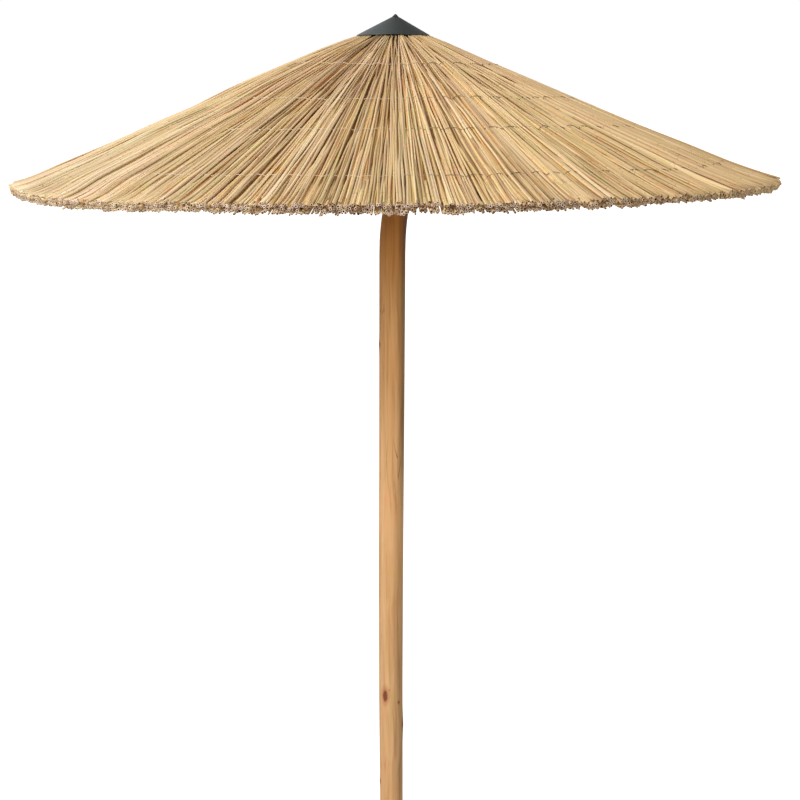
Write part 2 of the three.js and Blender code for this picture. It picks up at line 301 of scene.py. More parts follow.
REED = reed_material("reed_straw")
REED_CUT = cut_material("reed_cut", (srgb(255, 234, 212), srgb(246, 216, 194), srgb(140, 102, 80)), False)
# painted shade: the hollow of each cut reed coloured near-black for the shade deep inside it
REED_HOLE = cut_material("reed_hollow_painted_shade", (srgb(44, 27, 19), srgb(28, 18, 14), srgb(68, 46, 34)), True)


def core_material():
    m = Nodes("thatch_core")
    n = m.noise(m.coords(), 60.0, 4.0, 0.6)
    # painted shade: the middle of the thatch in a brown darker than the straw, for the shaded reeds deep inside it
    c = m.ramp(n, [(0.3, srgb(134, 94, 54)), (0.55, srgb(166, 124, 76)), (0.75, srgb(188, 148, 98))])
    x, y, z = m.sep(m.coords())
    # painted shade: near-black in the last few centimetres towards the rim, for the shade between the cut ends
    c = m.mix(m.remap(z, 2.104, 2.084, 0.0, 0.85), c, srgb(42, 27, 18))
    m.set(Base_Color=c, Roughness=m.remap(n, 0.2, 0.8, 0.8, 0.98), Normal=m.bump(n, 0.6, 0.003))
    return m.mat


CORE = core_material()


def pole_material():
    m = Nodes("pole_pine")
    o = m.coords()
    x, y, z = m.sep(o)
    at = m.sep(m.attr("pole_uv", "Vector"))  # cosine of the azimuth, knot nearness, metres up
    knot = at[1]
    # grain: long streaks that wander a little, in cylinder-like coordinates so there is no seam
    wander = m.math("MULTIPLY", m.noise(m.scale(o, (1.0, 1.0, 0.9)), 3.0, 2.0), 0.035)
    g_v = m.comb(m.math("ADD", m.math("MULTIPLY", x, 1.0), wander), m.math("ADD", m.math("MULTIPLY", y, 1.0), wander), m.math("MULTIPLY", z, 0.035))
    coarse = m.noise(g_v, 90.0, 3.0, 0.55, 0.25)
    fine = m.noise(m.scale(o, (1.0, 1.0, 0.02)), 420.0, 3.0, 0.6)
    tone = m.noise(m.scale(o, (1.0, 1.0, 0.45)), 5.0, 2.0, 0.5)
    c = m.ramp(coarse, [(0.28, srgb(186, 136, 86)), (0.45, srgb(208, 160, 108)), (0.60, srgb(218, 172, 120)), (0.78, srgb(227, 186, 138))])
    c = m.mix(m.remap(fine, 0.58, 0.78, 0.0, 0.40), c, m.mix(1.0, c, (0.70, 0.58, 0.46), "MULTIPLY"))
    c = m.mix(m.remap(fine, 0.40, 0.24, 0.0, 0.30), c, m.mix(1.0, c, (1.14, 1.14, 1.12), "MULTIPLY"))
    c = m.mix(m.remap(tone, 0.42, 0.72, 0.0, 0.45), c, m.mix(1.0, c, (0.90, 0.82, 0.74), "MULTIPLY"))
    # drying cracks
    crack_v = m.comb(m.math("ADD", x, wander), m.math("ADD", y, wander), m.math("MULTIPLY", z, 0.055))
    crack = m.voronoi(crack_v, 62.0, "DISTANCE_TO_EDGE")
    keep = m.remap(m.noise(m.scale(o, (1.0, 1.0, 0.30)), 9.0, 1.0), 0.56, 0.66, 0.0, 1.0)
    crack = m.math("MULTIPLY", m.remap(crack, 0.004, 0.022, 1.0, 0.0), keep)
    c = m.mix(m.math("MULTIPLY", crack, 0.75), c, srgb(96, 60, 32))
    # knots
    kn = m.noise(o, 160.0, 3.0)
    c = m.mix(m.remap(knot, 0.10, 0.55, 0.0, 0.55), c, srgb(184, 112, 66))
    c = m.mix(m.remap(m.math("ADD", knot, m.math("MULTIPLY", m.math("SUBTRACT", kn, 0.5), 0.35)), 0.55, 0.85, 0.0, 0.95), c, srgb(122, 62, 34))
    # painted shade and light by height: dark orange-brown just under the thatch where the canopy's shadow falls,
    # painted light at middle height, and a little darker towards the bottom
    painted_light_and_shade_by_height = m.ramp(m.math("MULTIPLY", z, 0.4), [(0.16, (0.90, 0.90, 0.90)), (0.30, (0.93, 0.93, 0.93)), (0.42, (1.06, 1.06, 1.05)), (0.53, (1.26, 1.25, 1.22)), (0.63, (1.25, 1.21, 1.10)), (0.70, (1.02, 0.94, 0.76)), (0.745, (0.78, 0.62, 0.36)), (0.785, (0.50, 0.33, 0.11))])
    c = m.mix(1.0, c, painted_light_and_shade_by_height, "MULTIPLY")
    # painted shade: the right flank, away from the light, darker, most of all under the canopy
    painted_shade_flank = m.math("MULTIPLY", m.remap(at[0], 0.25, 0.98, 0.0, 1.0), m.math("ADD", 0.30, m.remap(z, 1.05, 1.45, 0.0, 0.70)))
    c = m.mix(painted_shade_flank, c, m.mix(1.0, c, (0.36, 0.37, 0.34), "MULTIPLY"))
    # painted sheen: the left flank, which faces the light, a little greyer and less saturated
    c = m.mix(m.remap(at[0], -0.2, -0.95, 0.0, 1.0), c, m.mix(1.0, c, (0.84, 0.86, 0.93), "MULTIPLY"))
    hue = m.noise(m.scale(o, (1.0, 1.0, 0.55)), 24.0, 3.0, 0.55)
    c = m.mix(m.remap(hue, 0.52, 0.72, 0.0, 0.8), c, m.mix(1.0, c, (1.03, 0.93, 0.92), "MULTIPLY"))
    c = m.mix(m.remap(hue, 0.48, 0.28, 0.0, 0.8), c, m.mix(1.0, c, (0.96, 1.00, 0.90), "MULTIPLY"))
    rough = m.remap(fine, 0.25, 0.75, 0.58, 0.78)
    h = m.math("ADD", m.math("MULTIPLY", fine, 0.45), m.math("ADD", m.math("MULTIPLY", coarse, 0.35), m.math("MULTIPLY", crack, -1.4)))
    m.set(Base_Color=c, Roughness=rough, Normal=m.bump(h, 0.30, 0.0012))
    m.p.inputs["Specular IOR Level"].default_value = 0.3
    return m.mat


def end_grain_material(name="end_grain"):
    m = Nodes(name)
    o = m.coords()
    x, y, z = m.sep(o)
    r = m.math("SQRT", m.math("ADD", m.math("POWER", x, 2.0), m.math("POWER", y, 2.0)))
    w = m.math("ADD", r, m.math("MULTIPLY", m.noise(o, 40.0, 2.0), 0.004))
    ring = m.math("FRACT", m.math("MULTIPLY", w, 300.0))
    c = m.ramp(ring, [(0.0, srgb(214, 176, 128)), (0.6, srgb(204, 160, 108)), (0.88, srgb(160, 112, 66)), (1.0, srgb(208, 168, 118))])
    c = m.mix(m.remap(r, 0.0, 0.012, 0.5, 0.0), c, srgb(150, 100, 60))
    m.set(Base_Color=c, Roughness=m.remap(ring, 0.0, 1.0, 0.85, 0.7), Normal=m.bump(ring, 0.2, 0.0006))
    return m.mat


def batten_material(name, axis_angle=0.0, shade=1.0):
    """Sawn pine with the grain along the arm: the arm's azimuth turns the coordinates."""
    m = Nodes(name)
    o = m.coords()
    rot = m.add("Mapping")
    m.put(rot.inputs["Vector"], o)
    rot.inputs["Rotation"].default_value = (0, 0, -axis_angle)
    v = rot.outputs[0]
    g = m.noise(m.scale(v, (0.05, 1.0, 0.8)), 150.0, 3.0, 0.55, 0.3)
    f = m.noise(m.scale(v, (0.02, 1.0, 1.0)), 600.0, 2.0, 0.6)
    t = m.noise(m.scale(v, (0.5, 1.0, 1.0)), 9.0, 2.0)
    s = shade
    c = m.ramp(g, [(0.25, srgb(168 * s, 128 * s, 84 * s)), (0.5, srgb(196 * s, 158 * s, 110 * s)), (0.75, srgb(214 * s, 180 * s, 134 * s))])
    c = m.mix(m.remap(f, 0.58, 0.8, 0.0, 0.4), c, m.mix(1.0, c, (0.68, 0.58, 0.48), "MULTIPLY"))
    c = m.mix(m.remap(t, 0.5, 0.75, 0.0, 0.5), c, m.mix(1.0, c, (0.84, 0.78, 0.72), "MULTIPLY"))
    k = m.voronoi(m.scale(v, (0.6, 1.0, 1.0)), 11.0)
    c = m.mix(m.remap(k, 0.035, 0.075, 0.85, 0.0), c, srgb(118, 70, 40))
    m.set(Base_Color=c, Roughness=m.remap(f, 0.2, 0.8, 0.65, 0.85), Normal=m.bump(m.math("ADD", f, g), 0.25, 0.0008))
    m.p.inputs["Specular IOR Level"].default_value = 0.3
    return m.mat


def zinc_material(name, a=(168, 172, 173), b=(132, 136, 138), rough=(0.38, 0.58), spangle=70.0, rust=0.0):
    m = Nodes(name)
    o = m.coords()
    v = m.voronoi(o, spangle, out="Color")
    n = m.noise(o, 45.0, 4.0, 0.6)
    c = m.mix(m.remap(m.sep(v)[0], 0.1, 0.9, 0.0, 0.5), srgb(*a), srgb(*b))
    c = m.mix(m.remap(n, 0.48, 0.72, 0.0, 0.6), c, m.mix(1.0, c, (0.78, 0.78, 0.77), "MULTIPLY"))
    if rust:
        r = m.remap(m.noise(o, 22.0, 4.0, 0.65), 0.60, 0.70, 0.0, rust)
        c = m.mix(r, c, srgb(120, 76, 46))
    m.set(Base_Color=c, Roughness=m.remap(n, 0.25, 0.75, *rough), Normal=m.bump(n, 0.12, 0.0008))
    m.p.inputs["Metallic"].default_value = 0.85
    return m.mat


def cap_material():
    m = Nodes("cap_sheet")
    o = m.coords()
    x, y, z = m.sep(o)
    big = m.noise(o, 9.0, 3.0, 0.5)
    fine = m.noise(o, 260.0, 2.0, 0.5)
    scratch = m.noise(m.scale(o, (1.0, 1.0, 0.15)), 120.0, 3.0, 0.7)
    c = m.ramp(big, [(0.30, srgb(64, 70, 73)), (0.55, srgb(78, 84, 86)), (0.75, srgb(92, 97, 98))])
    c = m.mix(m.remap(scratch, 0.63, 0.74, 0.0, 0.35), c, srgb(120, 124, 124))
    # painted light and shade: the cap lighter on the left, where the light falls, and far darker on the right. Then
    # paint worn along the lower edge
    c = m.mix(1.0, c, m.ramp(m.math("ADD", m.math("MULTIPLY", x, 5.0), 0.5), [(0.05, (1.22, 1.22, 1.19)), (0.40, (0.60, 0.61, 0.58)), (0.62, (0.24, 0.24, 0.23)), (0.95, (0.08, 0.08, 0.075))]), "MULTIPLY")
    edge = m.math("MULTIPLY", m.remap(z, 2.4490, 2.4455, 0.0, 1.0), m.remap(fine, 0.42, 0.6, 0.0, 0.8))
    c = m.mix(m.math("MULTIPLY", edge, 0.4), c, srgb(126, 128, 126))
    m.set(Base_Color=c, Roughness=m.remap(big, 0.25, 0.75, 0.40, 0.56), Normal=m.bump(m.math("ADD", m.math("MULTIPLY", big, 0.9), m.math("MULTIPLY", fine, 0.08)), 0.25, 0.004))
    m.p.inputs["Metallic"].default_value = 0.12
    m.p.inputs["Specular IOR Level"].default_value = 0.30
    return m.mat


def nylon_material():
    m = Nodes("nylon_black")
    n = m.noise(m.coords(), 500.0, 2.0)
    b = m.noise(m.coords(), 30.0, 3.0)
    c = m.mix(m.remap(b, 0.35, 0.7, 0.0, 1.0), srgb(30, 30, 31), srgb(46, 46, 46))
    m.set(Base_Color=c, Roughness=m.remap(b, 0.2, 0.8, 0.42, 0.6), Normal=m.bump(n, 0.15, 0.0003))
    return m.mat


POLE_MAT = pole_material()
END_GRAIN = end_grain_material()
ZINC = zinc_material("zinc_steel")
BOLT = zinc_material("bolt_zinc", (186, 186, 180), (158, 158, 150), (0.28, 0.45), 240.0)
HOOP = zinc_material("hoop_steel", (142, 144, 143), (108, 110, 110), (0.45, 0.65), 120.0, rust=0.55)
def wire_material():
    m = Nodes("tie_wire")
    x, y, z = m.sep(m.coords())
    n = m.noise(m.coords(), 60.0, 3.0, 0.6)
    # painted light and shade: the wire pale on the left, where the light falls, and dark on the right
    c = m.mix(m.remap(m.math("ADD", x, m.math("MULTIPLY", n, 0.3)), 0.02, 0.40, 0.0, 1.0), srgb(232, 212, 184), srgb(112, 94, 64))
    m.set(Base_Color=c, Roughness=m.remap(n, 0.25, 0.75, 0.45, 0.65), Normal=m.bump(n, 0.1, 0.0004))
    m.p.inputs["Metallic"].default_value = 0.15
    return m.mat


WIRE = wire_material()
CAPM = cap_material()
CAP_HW = zinc_material("cap_hardware", (92, 95, 96), (70, 73, 74), (0.45, 0.6), 300.0)
NYLON = nylon_material()

# ---- the thatch -------------------------------------------------------------------------------------------------------
rng = np.random.default_rng(813)

SKIN = np.array([
    (0.062, 2.4570), (0.097, 2.4430), (0.150, 2.4235), (0.220, 2.3955), (0.300, 2.3625), (0.400, 2.320),
    (0.500, 2.2765), (0.600, 2.233), (0.700, 2.1895), (0.800, 2.147), (0.900, 2.107), (0.950, 2.0895), (1.000, 2.0735),
])


# The canopy isn't quite regular: it is fuller near the top on one side, and its rim droops there.
LEFT = np.array([(0.0, 0.0), (0.10, 0.0005), (0.16, 0.0060), (0.28, 0.0035), (0.40, 0.0035), (0.52, -0.0040), (0.64, -0.0005), (0.75, -0.0030), (0.87, -0.0070), (0.95, -0.0075), (1.00, -0.0030), (1.2, -0.0030)])
RIGHT = np.array([(0.0, 0.0), (0.10, 0.0), (0.13, -0.0025), (0.26, -0.0065), (0.39, -0.0070), (0.51, -0.0060), (0.63, -0.0045), (0.76, 0.0010), (0.87, 0.0010), (0.95, 0.0040), (1.00, 0.0035), (1.2, 0.0035)])


def droop(theta):
    d = np.angle(np.exp(1j * (theta - math.radians(221))))
    return 0.9 * (0.5 + 0.5 * np.cos(theta - math.radians(234))) ** 1.6 + 1.7 * np.exp(-(d / math.radians(17)) ** 2)


def skin_z(r, theta):
    c = np.cos(theta)
    z = np.interp(r, SKIN[:, 0], SKIN[:, 1])
    z = z + smooth(-c, 0.15, 1.0) * np.interp(r, LEFT[:, 0], LEFT[:, 1]) + smooth(c, 0.15, 1.0) * np.interp(r, RIGHT[:, 0], RIGHT[:, 1])
    return z - 0.0060 * droop(theta) * smooth(r, 0.88, 1.0)


def under_z(r, theta):
    c = np.cos(theta)
    tip = smooth(r, 0.89, 1.0)
    return 2.414 - 0.4126 * (r - 0.093) + tip * (0.0110 * smooth(c, 0.0, 0.9) + 0.0005 * smooth(-c, 0.5, 1.0) - 0.0055 * droop(theta))


SN, CN = 0.3814, 0.9244  # sine and cosine of the slope
R_TOP, T_RIM = 1.000, 0.031  # rim radius at the top face and the thatch's thickness there

# bunches: widths at the rim, in radians
widths = []
total = 0.0
while total < 2 * math.pi:
    w = rng.uniform(0.026, 0.050)
    widths.append(w)
    total += w
widths = np.array(widths) * (2 * math.pi / total)
edges = np.concatenate([[0], np.cumsum(widths)])
NB = len(widths)
b_mid = (edges[:-1] + edges[1:]) / 2
b_half = widths / 2
b_crown = rng.uniform(0.0015, 0.0060, NB)
b_gap = np.clip(rng.normal(0.040, 0.040, NB), 0.0, 0.13)
b_lift = rng.normal(0.0, 0.0012, NB)
b_end = rng.normal(0.0, 0.0032, NB)
b_tilt = rng.normal(0.0, 0.0018, NB)
b_tone = rng.normal(0.0, 1.0, NB)
b_gap_from = rng.uniform(0.55, 0.93, NB)

# near the cap the reeds stand in wider tufts
t_width = rng.uniform(0.24, 0.42, 40)
t_edge = np.concatenate([[0], np.cumsum(t_width)])
t_edge = t_edge[: int(np.searchsorted(t_edge, 2 * math.pi)) + 1]
t_edge *= 2 * math.pi / t_edge[-1]
t_mid = (t_edge[:-1] + t_edge[1:]) / 2
t_pull = rng.uniform(0.04, 0.22, len(t_mid))


def tufted(theta, r):
    th = np.mod(theta, 2 * math.pi)
    i = np.clip(np.searchsorted(t_edge, th, side="right") - 1, 0, len(t_mid) - 1)
    return theta + (t_mid[i] - th) * t_pull[i] * (1 - smooth(r, 0.095, 0.20))


def side_factor(theta):
    """How loose the bunches lie: 1 at the front left, down to 0.35 at the right."""
    a = math.radians(-105)
    return 0.62 + 0.38 * np.cos(theta - a)


def bunch_of(theta):
    return np.clip(np.searchsorted(edges, np.mod(theta, 2 * math.pi), side="right") - 1, 0, NB - 1)


def bunched(theta, r, extra=0.0):
    """Draws an azimuth towards its bunch's middle, and says how far across the bunch it is."""
    b = bunch_of(theta)
    u = (np.mod(theta, 2 * math.pi) - b_mid[b]) / b_half[b]
    loose = side_factor(theta)
    g = (b_gap[b] * loose) * smooth(r, b_gap_from[b], 1.0) + 0.025 * loose * smooth(r, 0.2, 0.5) + extra
    th = b_mid[b] + b_half[b] * u * (1 - g) + b_tilt[b] * smooth(r, 0.35, 1.0)
    return th, u, b


def crown(u, b, r):
    h = np.minimum(b_crown[b], 0.16 * b_half[b] * 2 * r + 0.0008)
    return h * (1 - np.minimum(np.abs(u), 1.0) ** 2.2) + b_lift[b] * smooth(r, 0.3, 1.0)


PALETTE = np.array([
    (218, 186, 140), (226, 195, 148), (210, 177, 130), (231, 203, 157), (202, 168, 122), (220, 186, 146),
    (214, 184, 152), (208, 177, 148), (198, 172, 130), (204, 180, 134), (190, 161, 116), (196, 150, 104),
    (180, 132, 86), (224, 184, 126), (229, 208, 176), (166, 126, 84),
], float)
WEIGHTS = np.array([14, 13, 13, 9, 9, 9, 8, 6, 6, 6, 4, 3.0, 1.6, 6, 5, 1.0])
WEIGHTS = WEIGHTS / WEIGHTS.sum()
BASE = np.array([219.0, 187.0, 141.0])
PALETTE = 0.55 * PALETTE + 0.45 * BASE * (PALETTE.mean(1) / BASE.mean())[:, None]


def reed_colours(n, b, dark=1.0, theta=None):
    i = rng.choice(len(PALETTE), n, p=WEIGHTS)
    c = PALETTE[i] + rng.normal(0, 2.0, (n, 3)) + rng.normal(0, 6.5, (n, 1))
    c = c + (b_tone[b] * 3.5)[:, None]
    if theta is not None:
        # painted light and shade: lighter towards the left, where the light falls, darker and more even towards the
        # right, which lies in shade
        left = smooth(-np.cos(theta), 0.1, 0.95)
        right = smooth(np.cos(theta), 0.3, 1.0)
        c = c + left[:, None] * np.array([3.0, 3.0, 3.0]) - right[:, None] * np.array([3.0, 3.0, 5.0])
        even = BASE * (c.mean(1) / BASE.mean())[:, None] * 0.5 + BASE * 0.5
        c = c + (even - c) * (0.42 * right)[:, None]
    return srgb_a(np.minimum(np.clip(c, 8, 250), (236, 208, 170))) * dark


def tube_set(paths, radii, ups, k, cols, rnd, end="hollow", start="point", squash=1.0):
    """paths (n, m, 3), radii (n, m), ups (n, m, 3): n tubes of k sides. The last ring is the cut end."""
    n, m, _ = paths.shape
    t = np.empty_like(paths)
    t[:, 1:-1] = paths[:, 2:] - paths[:, :-2]
    t[:, 0] = paths[:, 1] - paths[:, 0]
    t[:, -1] = paths[:, -1] - paths[:, -2]
    t /= np.linalg.norm(t, axis=2, keepdims=True)
    side = np.cross(t, ups)
    side /= np.linalg.norm(side, axis=2, keepdims=True)
    up = np.cross(side, t)
    a = 2 * math.pi * (np.arange(k) + 0.5) / k
    ca, sa = np.cos(a), np.sin(a)
    roll = rng.uniform(0, 2 * math.pi, n)
    ca2 = np.cos(a[None] + roll[:, None])[:, None, :, None]
    sa2 = np.sin(a[None] + roll[:, None])[:, None, :, None]
    ring = side[:, :, None, :] * ca2 + up[:, :, None, :] * sa2 * squash
    v = paths[:, :, None, :] + ring * radii[:, :, None, None]
    seg = np.concatenate([np.zeros((n, 1)), np.cumsum(np.linalg.norm(np.diff(paths, axis=1), axis=2), 1)], 1)
    uv = np.empty((n, m, k, 3))
    uv[..., 0] = seg[:, :, None]
    uv[..., 1] = np.minimum(np.arange(k), k - np.arange(k))[None, None] / (k / 2)
    uv[..., 2] = rnd[:, None, None]
    extra_v, extra_uv = [], []
    if end == "hollow":
        last, tt = paths[:, -1], t[:, -1]
        wall = 0.58
        ring_last = (v[:, -1] - last[:, None])
        inner = last[:, None] + ring_last * wall
        deep = inner - tt[:, None] * (radii[:, -1] * 2.2)[:, None, None]
        extra_v = [inner, deep]
    per = m * k + (2 * k if end == "hollow" else 0)
    V = v.reshape(n, m * k, 3)
    U = uv.reshape(n, m * k, 3)
    if extra_v:
        V = np.concatenate([V] + extra_v, 1)
        U = np.concatenate([U, U[:, -k:], U[:, -k:]], 1)
    base = (np.arange(n) * per)[:, None, None]
    j = np.arange(k)
    jn = (j + 1) % k
    i = np.arange(m - 1)[:, None]
    q = np.stack([i * k + j, (i + 1) * k + j, (i + 1) * k + jn, i * k + jn], -1).reshape(-1, 4)
    sides = (q[None] + base).reshape(-1, 4)
    groups = [(sides, 0)]
    start_cap = (j[None, :] + base[:, 0]).reshape(n, k)
    groups.append((start_cap, 0, True))
    if end == "hollow":
        o = (m - 1) * k
        p1, p2 = m * k, m * k + k
        ann = np.stack([o + j, p1 + j, p1 + jn, o + jn], -1)
        well = np.stack([p1 + j, p2 + j, p2 + jn, p1 + jn], -1)
        groups.append(((ann[None] + base).reshape(-1, 4), 1, True))
        groups.append(((well[None] + base).reshape(-1, 4), 2))
        groups.append(((p2 + j[::-1])[None] + base[:, 0], 2, True))
    else:
        o = (m - 1) * k
        groups.append(((o + j[::-1])[None] + base[:, 0], 1, True))
    C = np.concatenate([np.repeat(cols[:, None, :], per, 1), np.ones((n, per, 1))], 2)
    return V.reshape(-1, 3), groups, C.reshape(-1, 4), U.reshape(-1, 3), per


def wander(n, r, amp, lo=3.0, hi=10.0, waves=3):
    """A sum of waves along the reed, lo to hi radians per metre."""
    out = np.zeros((n, len(r) if r.ndim == 1 else r.shape[1]))
    for w in range(waves):
        f = lo * (hi / lo) ** ((w + rng.random((n, 1))) / waves)
        out += rng.normal(0, amp, (n, 1)) * (lo / f) ** 0.5 * np.sin(f * r + rng.uniform(0, 2 * math.pi, (n, 1)))
    return out


def vdc(n):
    out = np.zeros(n)
    for i in range(n):
        x, f, q = i, 0.5, 0.0
        while x:
            q += f * (x & 1)
            x >>= 1
            f *= 0.5
        out[i] = q
    return out


def spread_starts(n, r0, r1):
    """Starting radii such that the number of reeds at any radius is in step with it, evenly round the circle."""
    size = 1 << math.ceil(math.log2(n))
    order = vdc(size)
    idx = (np.arange(n) * size // n)
    rank = order[idx]
    rank = np.clip(rank + rng.normal(0, 0.018, n), 0, 1)
    rr = np.linspace(r0, r1, 400)
    share = rr / (0.66 + 0.34 * smooth(rr, 0.05, 0.75))
    return np.interp(rank, share / share[-1], rr)


def reeds(name, count, layer, under=False, k=6, m=20):
    """One layer of long reeds. layer 0 is the outermost."""
    theta = (np.arange(count) + rng.uniform(-0.48, 0.48, count)) * (2 * math.pi / count)
    keep = rng.random(count) > (0.03 if layer == 0 else 0.0)
    theta = theta[keep]
    n = len(theta)
    s = spread_starts(count, 0.066, 0.93)[keep]
    s = np.where(s < 0.13, rng.uniform(0.064, 0.078, n), s)
    b = bunch_of(theta)
    drop = 0.0 if layer == 0 else 0.0056 * layer
    end_r = R_TOP - 0.002 - 0.46 * drop + b_end[b] + rng.normal(0, 0.0042, n) - (rng.random(n) < 0.06) * rng.uniform(0.006, 0.022, n)
    end_r = np.minimum(end_r, R_TOP + 0.006)
    t = np.linspace(0, 1, m) ** 0.92
    r = s[:, None] + (end_r - s)[:, None] * t[None]
    lateral = wander(n, r, 0.0013, 3.0, 10.0) + wander(n, r, 0.00075, 14.0, 34.0) + rng.normal(0, 0.0105, (n, 1)) * (r - (s[:, None] + end_r[:, None]) / 2)
    th, u, bb = bunched(theta[:, None] + 0 * r, r)
    if layer:  # the layer below fills the gaps
        th = theta[:, None] + 0 * r
    th = tufted(th + lateral / r, r)
    rad_end = np.clip(rng.normal(0.00275, 0.00036, n), 0.0019, 0.0034)
    taper = 0.66 + 0.34 * smooth(r, 0.05, 0.75)
    radii = rad_end[:, None] * taper
    radii[:, 0] *= 0.55
    depth = rng.uniform(0, 0.0036, (n, 1)) + drop
    tuck = (1 - smooth(r - s[:, None], 0.0, 0.10)) * 0.0075
    tuck = np.where(s[:, None] < 0.12, 0.0, tuck)
    cr = crown(u, bb, r)
    if not under:
        h = -radii - depth + cr - tuck - 0.0010 + wander(n, r, 0.00075, 10.0, 32.0)
        near_cap = 1 - smooth(r, 0.09, 0.15)
        h = h * (1 - near_cap) + near_cap * np.minimum(h, -radii - 0.0006)
        base = skin_z(r, th)
    else:
        h = radii + depth + tuck + 0.0012 + np.abs(wander(n, r, 0.0004))
        end_in = R_TOP - 0.0150
        r = s[:, None] + (end_in + b_end[b] + rng.normal(0, 0.004, n) - s)[:, None] * t[None]
        base = under_z(r, th)
    x = (r + h * SN) * np.cos(th)
    y = (r + h * SN) * np.sin(th)
    z = base + h * CN
    paths = np.stack([x, y, z], -1)
    ups = np.stack([SN * np.cos(th), SN * np.sin(th), np.full_like(th, CN)], -1)
    # painted shade: the layer below gets a darker, browner copy of the straw colour, as it lies in the shade of the
    # outer reeds
    dark = np.array([1.0, 1.0, 1.0]) if layer == 0 else np.array([0.95, 0.81, 0.62])
    cols = reed_colours(n, b, dark * (0.9 if under else 1.0), theta)
    rnd = rng.random(n)
    return dict(paths=paths, radii=radii, ups=ups, cols=cols, rnd=rnd, theta=theta, k=k)


def stubs(k=7):
    """The cut ends that make up the rim's face, in a rough honeycomb with holes in it."""
    P = []
    pitch = 0.0069
    rim_holes = rng.uniform(0, 2 * math.pi, 340)
    hole_v = rng.uniform(0.10, 0.85, 340)
    hole_w = rng.uniform(0.0035, 0.0085, 340)
    rows = 4
    for row in range(rows):
        v = row / (rows - 1)
        cnt = int(round(2 * math.pi * 0.99 / pitch))
        th = (np.arange(cnt) + (0.5 if row % 2 else 0.0) + rng.normal(0, 0.22, cnt)) * 2 * math.pi / cnt
        P.append(np.stack([th, np.full(cnt, v)], -1))
    q = np.concatenate(P)
    th, v = np.mod(q[:, 0], 2 * math.pi), q[:, 1]
    near = np.abs(np.angle(np.exp(1j * (th[:, None] - rim_holes[None])))) / (hole_w[None]) + np.abs(v[:, None] - hole_v[None]) / 0.45
    keep = ((near.min(1) > 1.0) | (v > 0.9)) & (rng.random(len(th)) > 0.03)
    th, v = th[keep], v[keep]
    n = len(th)
    drawn, u, b = bunched(th, np.full(n, 1.0))
    th = th + 0.35 * (drawn - th)  # the face closes up where the bunches above it stand apart
    thick = (skin_z(R_TOP, th) - under_z(R_TOP - 0.015, th)) * 1.04
    first = 0.0072
    lump = 0.0016 * np.sin(th * 31 + 1.0) + 0.0014 * np.sin(th * 57 + 2.0) + 0.0009 * np.sin(th * 113)
    d = first + v * (thick - first - 0.0026 + lump) + rng.normal(0, 0.0007, n)
    d = d + np.where((v > 0.9) & (rng.random(n) < 0.25), rng.uniform(0.0008, 0.0030, n), 0)
    r_end = R_TOP - 0.0150 * d / 0.031 + b_end[b] + rng.normal(0, 0.0040, n) * np.where(v > 0.9, 0.5, 1.0)
    stray = rng.random(n)
    r_end = r_end + np.where(stray < 0.10, rng.uniform(-0.018, -0.006, n), 0) + np.where(stray > 0.965, rng.uniform(0.001, 0.006, n), 0)
    r_end = np.minimum(r_end, R_TOP + 0.009)
    m = 4
    back = (np.linspace(1, 0, m)[None] ** 1.0) * 0.115
    r_along = r_end[:, None] - back * CN
    sway = rng.normal(0, 0.016, (n, 1))
    pitch_t = rng.normal(0, 0.008, (n, 1))
    theta = th[:, None] + sway * (0.05 - back) / r_along * 0.6
    # deeper at the back, so that the far ends stay under the long reeds
    dd = d[:, None] + np.minimum(back, 0.06) * 0.05 + pitch_t * (0.03 - back) * 0.35
    z = skin_z(r_along, theta) - dd * 0.93
    floor_z = under_z(r_along, theta) + 0.0024 - 0.004 * (back < 0.02)
    z = np.where((v < 0.9)[:, None], np.maximum(z, floor_z), z)
    x = r_along * np.cos(theta)
    y = r_along * np.sin(theta)
    paths = np.stack([x, y, z], -1)
    radii = np.repeat(np.clip(rng.normal(0.00325, 0.00045, n), 0.0022, 0.0042)[:, None], m, 1)
    ups = np.stack([SN * np.cos(theta), SN * np.sin(theta), np.full_like(theta, CN)], -1)
    cols = reed_colours(n, b, 0.92)
    return dict(paths=paths, radii=radii, ups=ups, cols=cols, rnd=rng.random(n), theta=th, k=k)


def place(data, name, sectors, quarter_nodes=None):
    """Splits a set of reeds into sector pieces."""
    th = np.mod(data["theta"], 2 * math.pi)
    out = []
    for i in range(sectors):
        lo, hi = i * 2 * math.pi / sectors, (i + 1) * 2 * math.pi / sectors
        sel = (th >= lo) & (th < hi)
        V, G, C, U, per = tube_set(data["paths"][sel], data["radii"][sel], data["ups"][sel], data["k"], data["cols"][sel], data["rnd"][sel])
        ob = object_from("%s_%02d" % (name, i + 1), V, G, [REED, REED_CUT, REED_HOLE], {"reed_col": ("FLOAT_COLOR", C), "reed_uv": ("FLOAT_VECTOR", U)})
        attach(ob, "canopy")
        out.append(ob)
    return out


outer = place(reeds("outer", 1180, 0), "reeds_outer", 16)
second = place(reeds("second", 1260, 1, k=5, m=10), "reeds_second", 8)
rim = place(stubs(), "reed_ends", 16)
lower = place(reeds("under", 1080, 0, under=True, k=5, m=9), "reeds_under", 8)

